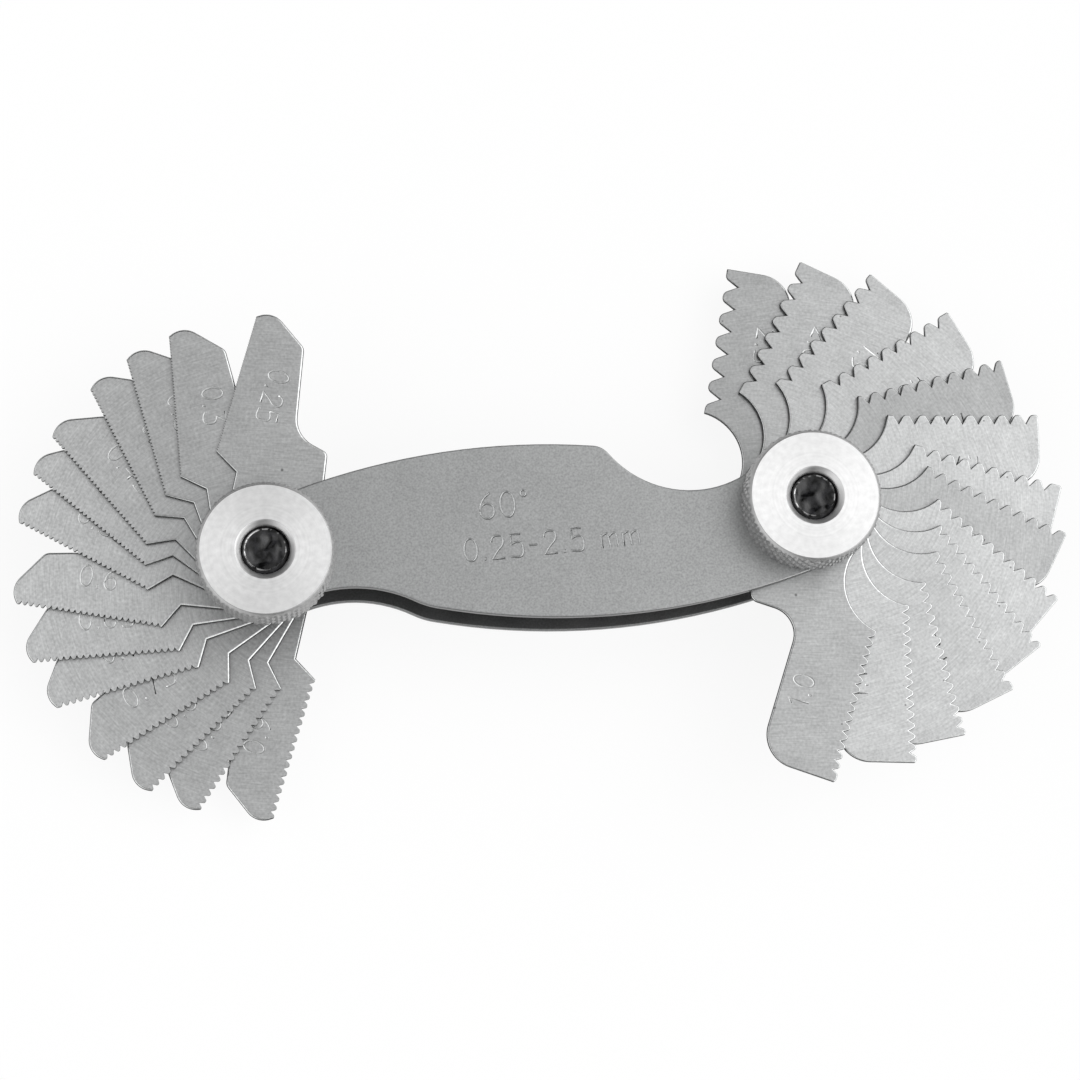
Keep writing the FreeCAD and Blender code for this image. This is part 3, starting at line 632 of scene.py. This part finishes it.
class GaugeSizes(bpy.types.PropertyGroup):
    """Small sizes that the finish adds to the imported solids."""

    leaf_rounding: FloatProperty(
        name="Leaf edge rounding", description="Radius that tumbling leaves on a leaf's edges",
        default=0.21 * MM, unit="LENGTH", precision=5,
    )
    case_rounding: FloatProperty(
        name="Case edge rounding", description="Radius on the edges of the two plates",
        default=0.15 * MM, unit="LENGTH", precision=5,
    )
    figure_height: FloatProperty(
        name="Leaf figure height", description="Height of the pitch figures on the leaves",
        default=2.1 * MM, unit="LENGTH", precision=5,
    )
    groove_width: FloatProperty(
        name="Engraving width", description="Width of an engraved line",
        default=0.24 * MM, unit="LENGTH", precision=5,
    )
    groove_depth: FloatProperty(
        name="Leaf engraving depth", description="Depth of an engraved line on a leaf",
        default=0.04 * MM, unit="LENGTH", precision=5,
    )
    mark_depth: FloatProperty(
        name="Plate engraving depth", description="Depth of an engraved line on the front plate",
        default=0.06 * MM, unit="LENGTH", precision=5,
    )
    knurl_count: IntProperty(name="Knurl count", description="Diamonds round a nut", default=40, min=12)
    knurl_depth: FloatProperty(
        name="Knurl depth", description="Depth of the knurl's grooves",
        default=0.26 * MM, unit="LENGTH", precision=5,
    )
    knurl_angle: FloatProperty(
        name="Knurl angle", description="Angle of the knurl's grooves to the nut's axis",
        default=math.radians(35), subtype="ANGLE",
    )
    thread_pitch: FloatProperty(
        name="Screw thread pitch", description="Pitch of the thread that the nuts turn on",
        default=0.8 * MM, unit="LENGTH", precision=5,
    )


class GaugeColours(bpy.types.PropertyGroup):
    """Base colours of the four finishes."""

    leaf: FloatVectorProperty(
        name="Leaf steel", description="Ground and tumbled stainless strip",
        subtype="COLOR", default=linear("#C2C3C3"), min=0, max=1,
    )
    case: FloatVectorProperty(
        name="Case steel", description="Bead-blasted stainless plate",
        subtype="COLOR", default=linear("#A6A7A7"), min=0, max=1,
    )
    nut: FloatVectorProperty(
        name="Nut aluminium", description="Turned aluminium bar",
        subtype="COLOR", default=linear("#FAFAFA"), min=0, max=1,
    )
    screw: FloatVectorProperty(
        name="Screw black oxide", description="Black oxide on steel",
        subtype="COLOR", default=linear("#141416"), min=0, max=1,
    )


class StudioSettings(bpy.types.PropertyGroup):
    """Camera, lamps and floor."""

    camera_place: FloatVectorProperty(
        name="Camera place", description="Where the camera hangs above the gauge",
        subtype="TRANSLATION", default=(0.0002, -0.0487, 0.2652),
    )
    camera_turn: FloatVectorProperty(
        name="Camera turn", description="Tilt, lean and turn of the camera",
        subtype="EULER", default=tuple(math.radians(a) for a in (11.215, -4.833, -6.684)),
    )
    focal_length: FloatProperty(
        name="Focal length", description="Focal length on a 36 mm wide sensor, in millimetres", default=86.2,
    )
    floor: FloatVectorProperty(
        name="Floor", description="Pale studio floor",
        subtype="COLOR", default=linear("#F6F6F6"), min=0, max=1,
    )
    overhead: FloatProperty(
        name="Overhead light", description="Brightness of the long ceiling panel", default=0.76,
    )
    lean: FloatProperty(
        name="Lean of the light", description="How much brighter the panel is towards +X", default=1.57,
    )
    walls: FloatProperty(
        name="Room walls", description="Brightness all round, up to 30 degrees high", default=0.2,
    )
    low_lamp: FloatProperty(
        name="Low lamp", description="Brightness of the low lamp at the front left", default=0.8,
    )
    horizon: FloatProperty(
        name="Horizon light", description="Brightness near the horizon behind the gauge", default=0.03,
    )
    side: FloatProperty(
        name="Side light", description="Brightness of the two end walls", default=1.36,
    )


# ---------------------------------------------------------------- operators


class GAUGE_OT_leaves(bpy.types.Operator):
    """Round, engrave and shade the twenty-eight leaves"""

    bl_idname = "gauge.leaves"
    bl_label = "Leaves"

    def execute(self, context):
        sizes = context.scene.gauge_sizes
        steel = leaf_steel(context.scene.gauge_colours)
        for name, joint in JOINTS.items():
            if name.startswith("leaf_"):
                self.make_leaf(name[: -len("_swing")], joint, sizes, steel)
        return {"FINISHED"}

    def make_leaf(self, node, joint, sizes, steel):
        """One leaf: its rims rounded, its pitch engraved on the front."""
        figure = node[len("leaf_") :].replace("_", ".")
        pitch = float(figure)
        bank = "left" if pitch < 1 else "right"
        centre = Vector(joint["pos_m"])
        folded = 0 if bank == "left" else math.pi
        swing = folded - math.radians(joint["range_deg"][0])
        plan = Matrix.Translation((centre.x, centre.y, 0)) @ Matrix.Rotation(swing, 4, "Z")
        plan = plan @ Matrix.Scale(MM, 4)
        to_plan = plan.inverted()
        inner, outer = (Vector(p) for p in TOOTH_LINE[bank])
        outer.y -= TOOTH_FALL[bank] * (pitch - 1)
        along = (outer - inner).normalized()
        inwards = Vector((along.y, -along.x))
        line_length = (outer - inner).length
        tooth_share = TOOTH_ROUNDING[bank]

        def rim_weight(middle):
            """The share of the rounding that an edge gets, from the place of its middle."""
            if (middle.xy - centre.xy).length < BORE_ZONE:
                return 0.0
            local = (to_plan @ middle).xy - inner
            reach = GAP_DEPTH * pitch + 0.02  # just past the roots of the teeth
            if 0 < local.dot(along) < line_length and local.dot(inwards) < reach:
                return tooth_share
            if bank == "left":
                return 1.0
            # the wide rim starts little by little on the arcs behind the tooth line's ends, because a
            # change of width on a straight edge would fold the face
            heel_arc, tip_arc, tip_edge = 6.0, 3.4, 1.0
            ramp = min(local.length / heel_arc, (outer.x - tip_edge - local.x - inner.x) / tip_arc, 1.0)
            return tooth_share + (1 - tooth_share) * max(0.0, ramp)

        def on_crest(place):
            """Whether a corner lies on the tooth line, between its ends."""
            local = (to_plan @ place).xy - inner
            end, near = 0.01, 0.005  # mm
            return end < local.dot(along) < line_length - end and abs(local.dot(inwards)) < near

        mesh = merged_copy(node)
        if pitch > SHARP_PITCH:
            round_crests(mesh, on_crest, CREST_ROUNDING * pitch * MM)
        middle = FIGURE_PLACE[bank]
        heading = math.atan2(-along.y, -along.x)
        place = (
            Matrix.Translation((0, 0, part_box(node)[1].z))
            @ plan
            @ Matrix.Translation((*middle, 0))
            @ Matrix.Rotation(heading, 4, "Z")
            @ Matrix.Scale(1 / MM, 4)
        )
        tools = [engraving_tool(figure, sizes.groove_width, sizes.groove_depth, sizes.figure_height, place)]
        mesh = rounded_and_engraved(mesh, tools, rim_weight, sizes.leaf_rounding)

        layer = mesh.uv_layers.new(name="leaf_plan")
        for loop in mesh.loops:
            layer.data[loop.index].uv = (to_plan @ mesh.vertices[loop.vertex_index].co).xy
        # no two strips are quite the same grey
        level = 1.0 + 0.05 * noise.noise(Vector((pitch * 7.3, 2.1, 0.4)))
        # painted light and shade: a few leaves lighter and some darker, for how their tilts catch the light
        level *= TILT_PAINTED_SHADE.get(figure, 1.0)
        # walls and steep rims get painted shade, nearly black
        painted_wall = level * WALL_PAINTED_SHADE
        paint_faces(mesh, "leaf_tone_and_painted_shade", lambda face: painted_wall if abs(face.normal.z) < LEAF_WALL else level)
        burnished = mesh.attributes.new("burnished", "FLOAT", "FACE")
        for face in mesh.polygons:
            burnished.data[face.index].value = BURNISHED[0] < abs(face.normal.z) < BURNISHED[1]
        soften_shading(mesh, degrees=30)
        new_piece("pitch_" + node, mesh, steel, joint["child"], node)


class GAUGE_OT_case(bpy.types.Operator):
    """Round the two case plates and engrave the front one"""

    bl_idname = "gauge.case"
    bl_label = "Case plates"

    def execute(self, context):
        sizes = context.scene.gauge_sizes
        steel = case_steel(context.scene.gauge_colours)
        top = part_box("front_plate")[1].z
        marks = {  # what is engraved on each plate: text, height and middle
            "front_plate": (
                ("60°", 2.6 * MM, (24.2 * MM, 3.0 * MM, top)),
                ("0.25-2.5 mm", 2.3 * MM, (28.6 * MM, -1.3 * MM, top)),
            ),
            "back_plate": (),
        }

        def rim_weight(place):
            nearest = min((place.xy - pivot.xy).length for pivot in PIVOTS.values())
            return 0.0 if nearest < BORE_ZONE else 1.0

        for node, words in marks.items():
            tools = [
                engraving_tool(text, sizes.groove_width, sizes.mark_depth, height, Matrix.Translation(place))
                for text, height, place in words
            ]
            mesh = rounded_and_engraved(merged_copy(node), tools, rim_weight, sizes.case_rounding)
            inwards = -1 if node == "front_plate" else 1
            # painted shade on the inner faces and walls
            paint_faces(mesh, "case_painted_shade", lambda face: self.tone(face.normal.z * inwards))
            soften_shading(mesh, degrees=30)
            new_piece("case_" + node.replace("_plate", ""), mesh, steel, "case", node)
        return {"FINISHED"}

    def tone(self, inwards):
        """Painted shade: the inner face, whose normal points inwards, and the walls are painted darker than
        the blasted face.
        """
        return INNER_PAINTED_SHADE if inwards > CASE_FACE or abs(inwards) < CASE_WALL else 1.0


class GAUGE_OT_nuts(bpy.types.Operator):
    """Turn and knurl the two thumb nuts"""

    bl_idname = "gauge.nuts"
    bl_label = "Thumb nuts"

    def execute(self, context):
        sizes = context.scene.gauge_sizes
        aluminium = nut_aluminium(context.scene.gauge_colours)
        tree = turning_tree()
        for side, pivot in PIVOTS.items():
            node = side + "_thumb_nut"
            low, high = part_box(node)
            rim = (high.x - low.x) / 2
            mesh = turned_mesh(
                tree, self.outline(rim, low.z, high.z), aluminium, pivot,
                Columns=sizes.knurl_count * KNURL_COLUMNS + 1, Starts=float(sizes.knurl_count),
                Lift=2 * math.pi * rim / sizes.knurl_count / math.tan(sizes.knurl_angle),
                Groove_Depth=sizes.knurl_depth, Crest=KNURL_CREST, Rim_Radius=rim,
                Grooves_From=low.z - 1 * MM, Crossed=1.0,  # from below the nut to its top
            )
            # painted shade on the rim and the bore's mouth
            paint_faces(mesh, "turned_painted_shade", lambda face: self.tone(face, pivot))
            soften_shading(mesh, degrees=50)
            new_piece(side + "_knurled_nut", mesh, aluminium, side + "_nut", node)
        return {"FINISHED"}

    def tone(self, face, pivot):
        """Painted shade: the two faces keep the finish's colour, the knurled rim and the mouth of the bore
        are painted darker.
        """
        if abs(face.normal.z) > TURNED_FACE:
            return 1.0
        return RIM_PAINTED_SHADE if (face.center.xy - pivot.xy).length > 4 * MM else BORE_PAINTED_SHADE

    def outline(self, rim, base, top):
        """Section of a nut from the bottom of its bore round the outside to the bore again."""
        bore, mouth, face, foot = 2.4 * MM, 2.95 * MM, 6.46 * MM, 6.55 * MM  # radii
        top_chamfer, base_chamfer, sink = 0.5 * MM, 0.35 * MM, 0.55 * MM  # heights
        points = [(bore, base)]
        points += steps(points[-1], (foot, base), 3)
        points += steps(points[-1], (rim, base + base_chamfer), 3)
        points += steps(points[-1], (rim, top - top_chamfer), 26)  # rows enough to draw the diamonds
        points += steps(points[-1], (face + 0.03 * MM, top - 0.03 * MM), 4)
        # the edge of the face is eased over less than 0.1 mm, and so is the mouth of the bore
        points += [(face - 0.01 * MM, top - 0.006 * MM), (face - 0.05 * MM, top)]
        points += steps(points[-1], (mouth + 0.03 * MM, top), 4)
        points += [(mouth, top - 0.012 * MM)]
        points += steps(points[-1], (bore + 0.02 * MM, top - sink + 0.01 * MM), 3)
        points += [(bore, top - sink - 0.02 * MM)]
        points += steps(points[-1], (bore, base), 2)
        return points


class GAUGE_OT_screws(bpy.types.Operator):
    """Turn the two pivot screws and cut their threads"""

    bl_idname = "gauge.screws"
    bl_label = "Pivot screws"

    def execute(self, context):
        sizes = context.scene.gauge_sizes
        oxide = screw_oxide(context.scene.gauge_colours)
        tree = turning_tree()
        shank, pitch = 2.35 * MM, sizes.thread_pitch
        for number, (side, pivot) in enumerate(PIVOTS.items()):
            node = side + "_screw"
            low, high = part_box(node)
            nut_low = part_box(side + "_thumb_nut")[0]
            mesh = turned_mesh(
                tree, self.outline((high.x - low.x) / 2, shank, low.z, nut_low.z, high.z), oxide, pivot,
                Columns=THREAD_COLUMNS + 1, Starts=1.0, Lift=pitch, Groove_Depth=THREAD_DEPTH * pitch,
                Crest=THREAD_CREST, Rim_Radius=shank, Grooves_From=nut_low.z, Crossed=0.0,
            )
            self.dent_end(mesh, pivot, high.z, number)
            rubbed = mesh.attributes.new("rubbed", "FLOAT", "POINT")
            burr_foot, burr_inner = high.z - 0.05 * MM, 2.0 * MM
            for vertex in mesh.vertices:
                out = (vertex.co.xy - pivot.xy).length
                rubbed.data[vertex.index].value = vertex.co.z > burr_foot and out > burr_inner
            soften_shading(mesh, degrees=35)
            new_piece(side + "_pivot_screw", mesh, oxide, "case", node)
        return {"FINISHED"}

    def outline(self, head, shank, base, thread_from, top):
        """Section of a screw from the middle of its head to the middle of its end."""
        head_top, rounding, chamfer = base + 1.6 * MM, 0.6 * MM, 0.24 * MM
        points = [(0.0, base)]
        points += steps(points[-1], (head - rounding, base), 3)
        points += rounded((head, base), (0, base), (head, head_top), rounding, 6)[1:]
        points += [(head, head_top - 0.1 * MM), (head - 0.1 * MM, head_top)]
        points += [(shank, head_top), (shank, thread_from)]
        points += steps(points[-1], (shank, top - chamfer), 46)  # rows enough to draw the thread
        # a fine burr stands round the end; its two feet differ in height, so the thread cuts it cleanly
        points += steps(points[-1], (shank - chamfer, top - 0.04 * MM), 4)
        points += [(shank - chamfer - 0.04 * MM, top), (shank - chamfer - 0.08 * MM, top - 0.01 * MM)]
        points += [(shank - chamfer - 0.16 * MM, top - 0.07 * MM)]
        points += steps(points[-1], (0.0, top - 0.07 * MM), 9)
        return points

    def dent_end(self, mesh, pivot, top, number):
        """The cut end isn't quite flat: shallow dents that break up its reflections."""
        edge, slope = 1.95 * MM, 0.5 * MM  # the dents end at the edge, and deepen over the slope
        mean, swing, per_mm = 0.14, 0.36, 0.9  # depth and its swing in mm, dents to a mm
        for vertex in mesh.vertices:
            out = (vertex.co.xy - pivot.xy).length
            if vertex.co.z > top - 0.1 * MM and out < edge:
                x, y = (c / MM * per_mm for c in vertex.co.xy)
                wave = noise.noise(Vector((x, y, 3.7 + 5 * number)))
                vertex.co.z -= (mean + swing * wave) * MM * min(1.0, (edge - out) / slope)


class GAUGE_OT_stage(bpy.types.Operator):
    """Set up the floor, the light and the camera"""

    bl_idname = "gauge.stage"
    bl_label = "Stage"

    def execute(self, context):
        studio = context.scene.gauge_studio
        self.make_floor(studio)
        self.make_world(context, studio)
        self.make_camera(context, studio)
        context.scene.view_settings.view_transform = "Standard"
        return {"FINISHED"}

    def make_floor(self, studio):
        """A large pale sheet that the screw heads stand on."""
        material, tree = new_material("pale_paper_floor")
        paper = add_node(tree, "ShaderNodeBsdfDiffuse", {"Color": (*studio.floor, 1)})
        white = add_node(tree, "ShaderNodeEmission", {"Color": (1, 1, 1, 1), "Strength": 1.0})
        # to the camera and in reflections the sheet is nearly plain white, with a trace of its shadows
        shadow_share = 0.12
        lit = add_node(tree, "ShaderNodeMixShader", (shadow_share, white, paper))
        ray = add_node(tree, "ShaderNodeLightPath").outputs
        direct = add_node(tree, MATH, (ray["Is Glossy Ray"], ray["Is Camera Ray"]), operation="MAXIMUM")
        seen = add_node(tree, "ShaderNodeMixShader", (direct, paper, lit))
        add_node(tree, "ShaderNodeOutputMaterial", {"Surface": seen})
        half, z = 1.5, CAD_LOW.z - 0.01 * MM
        corners = [(-half, -half, z), (half, -half, z), (half, half, z), (-half, half, z)]
        mesh = bpy.data.meshes.new("floor")
        mesh.from_pydata(corners, [], [(0, 1, 2, 3)])
        mesh.materials.append(material)
        new_object("floor", mesh)

    def make_world(self, context, studio):
        """A light tunnel along X: a long ceiling panel that gains towards +X, bright end walls and
        dim sides, so that edges along the gauge go dark and edges across it shine."""
        world = bpy.data.worlds.new("studio")
        world.use_nodes = True
        tree = world.node_tree
        tree.nodes.clear()
        smooth = {"interpolation_type": "SMOOTHSTEP"}
        way = add_node(tree, "ShaderNodeTexCoord")
        parts = add_node(tree, "ShaderNodeSeparateXYZ", (way.outputs["Generated"],)).outputs

        # the ceiling panel widens and gains towards +X
        aside = add_node(tree, MATH, (parts["Y"], 0.1), operation="ADD")
        aside = add_node(tree, MATH, (aside,), operation="ABSOLUTE")
        aside = add_node(tree, MATH, (parts["X"], -0.1, aside), operation="MULTIPLY_ADD")
        panel = add_node(tree, RANGE, (aside, 0.85, 0.6), **smooth)
        above = add_node(tree, RANGE, (parts["Z"], 0.0, 0.35), **smooth)
        panel = add_node(tree, MATH, (panel, above), operation="MULTIPLY")
        gain = add_node(tree, MATH, (parts["X"], studio.lean, 0.95), operation="MULTIPLY_ADD")
        gain = add_node(tree, MATH, (gain, 0.3), operation="MAXIMUM")
        panel = add_node(tree, MATH, (panel, gain), operation="MULTIPLY")
        panel = add_node(tree, MATH, (panel, studio.overhead), operation="MULTIPLY")
        ends = add_node(tree, MATH, (parts["X"],), operation="ABSOLUTE")
        ends = add_node(tree, RANGE, (ends, 0.2, 0.95), **smooth)
        ends = add_node(tree, MATH, (ends, studio.side), operation="MULTIPLY")
        # both fade towards the floor, so that a view from the side isn't burnt out
        fade = add_node(tree, RANGE, (parts["Z"], 0.15, 0.6), **smooth)
        fade = add_node(tree, MATH, (fade, 0.7, 0.3), operation="MULTIPLY_ADD")
        high = add_node(tree, MATH, (panel, ends), operation="ADD")
        high = add_node(tree, MATH, (high, fade), operation="MULTIPLY")

        # a glow behind the gauge, and the walls of the room, which only a view from the side mirrors
        glow = add_node(tree, MATH, (parts["Y"], studio.horizon, studio.horizon), operation="MULTIPLY_ADD")
        walls = add_node(tree, RANGE, (parts["Z"], 0.6, 0.3), **smooth)
        low = add_node(tree, MATH, (walls, studio.walls, glow), operation="MULTIPLY_ADD")
        # a low lamp at the front left draws a bright line on the rims that face it
        lamp = add_node(tree, MATH, (parts["X"], -0.75), operation="MULTIPLY")
        lamp = add_node(tree, MATH, (parts["Y"], -0.65, lamp), operation="MULTIPLY_ADD")
        lamp = add_node(tree, RANGE, (lamp, 0.68, 0.95), **smooth)
        low = add_node(tree, MATH, (lamp, studio.low_lamp, low), operation="MULTIPLY_ADD")

        light = add_node(tree, MATH, (high, low), operation="ADD")
        room = add_node(tree, "ShaderNodeBackground", {"Color": (1, 1, 1, 1), "Strength": light})
        add_node(tree, "ShaderNodeOutputWorld", {"Surface": room})
        context.scene.world = world

    def make_camera(self, context, studio):
        """The camera looks down on the gauge from above its left end."""
        data = bpy.data.cameras.new("camera")
        data.sensor_width = 36
        data.lens = studio.focal_length
        data.clip_start, data.clip_end = 0.01, 10
        camera = new_object("camera", data)
        camera.location = studio.camera_place
        camera.rotation_euler = studio.camera_turn
        context.scene.camera = camera


class GAUGE_PT_build(bpy.types.Panel):
    """Buttons that build the gauge piece by piece"""

    bl_idname = "GAUGE_PT_build"
    bl_label = "Pitch Gauge"
    bl_space_type = "VIEW_3D"
    bl_region_type = "UI"
    bl_category = "Pitch Gauge"

    def draw(self, context):
        for step in STEPS:
            self.layout.operator(step.bl_idname)
        for group in ("gauge_sizes", "gauge_colours", "gauge_studio"):
            settings = getattr(context.scene, group)
            box = self.layout.box()
            for name in settings.bl_rna.properties.keys():
                if name not in ("rna_type", "name"):
                    box.prop(settings, name)


STEPS = (GAUGE_OT_leaves, GAUGE_OT_case, GAUGE_OT_nuts, GAUGE_OT_screws, GAUGE_OT_stage)
CLASSES = (GaugeSizes, GaugeColours, StudioSettings, *STEPS, GAUGE_PT_build)


def register():
    for cls in CLASSES:
        bpy.utils.register_class(cls)
    bpy.types.Scene.gauge_sizes = PointerProperty(type=GaugeSizes)
    bpy.types.Scene.gauge_colours = PointerProperty(type=GaugeColours)
    bpy.types.Scene.gauge_studio = PointerProperty(type=StudioSettings)


def unregister():
    del bpy.types.Scene.gauge_studio
    del bpy.types.Scene.gauge_colours
    del bpy.types.Scene.gauge_sizes
    for cls in reversed(CLASSES):
        bpy.utils.unregister_class(cls)


def main():
    """Build every piece."""
    register()
    for step in STEPS:
        category, name = step.bl_idname.split(".")
        getattr(getattr(bpy.ops, category), name)()


if __name__ == "__main__":
    main()
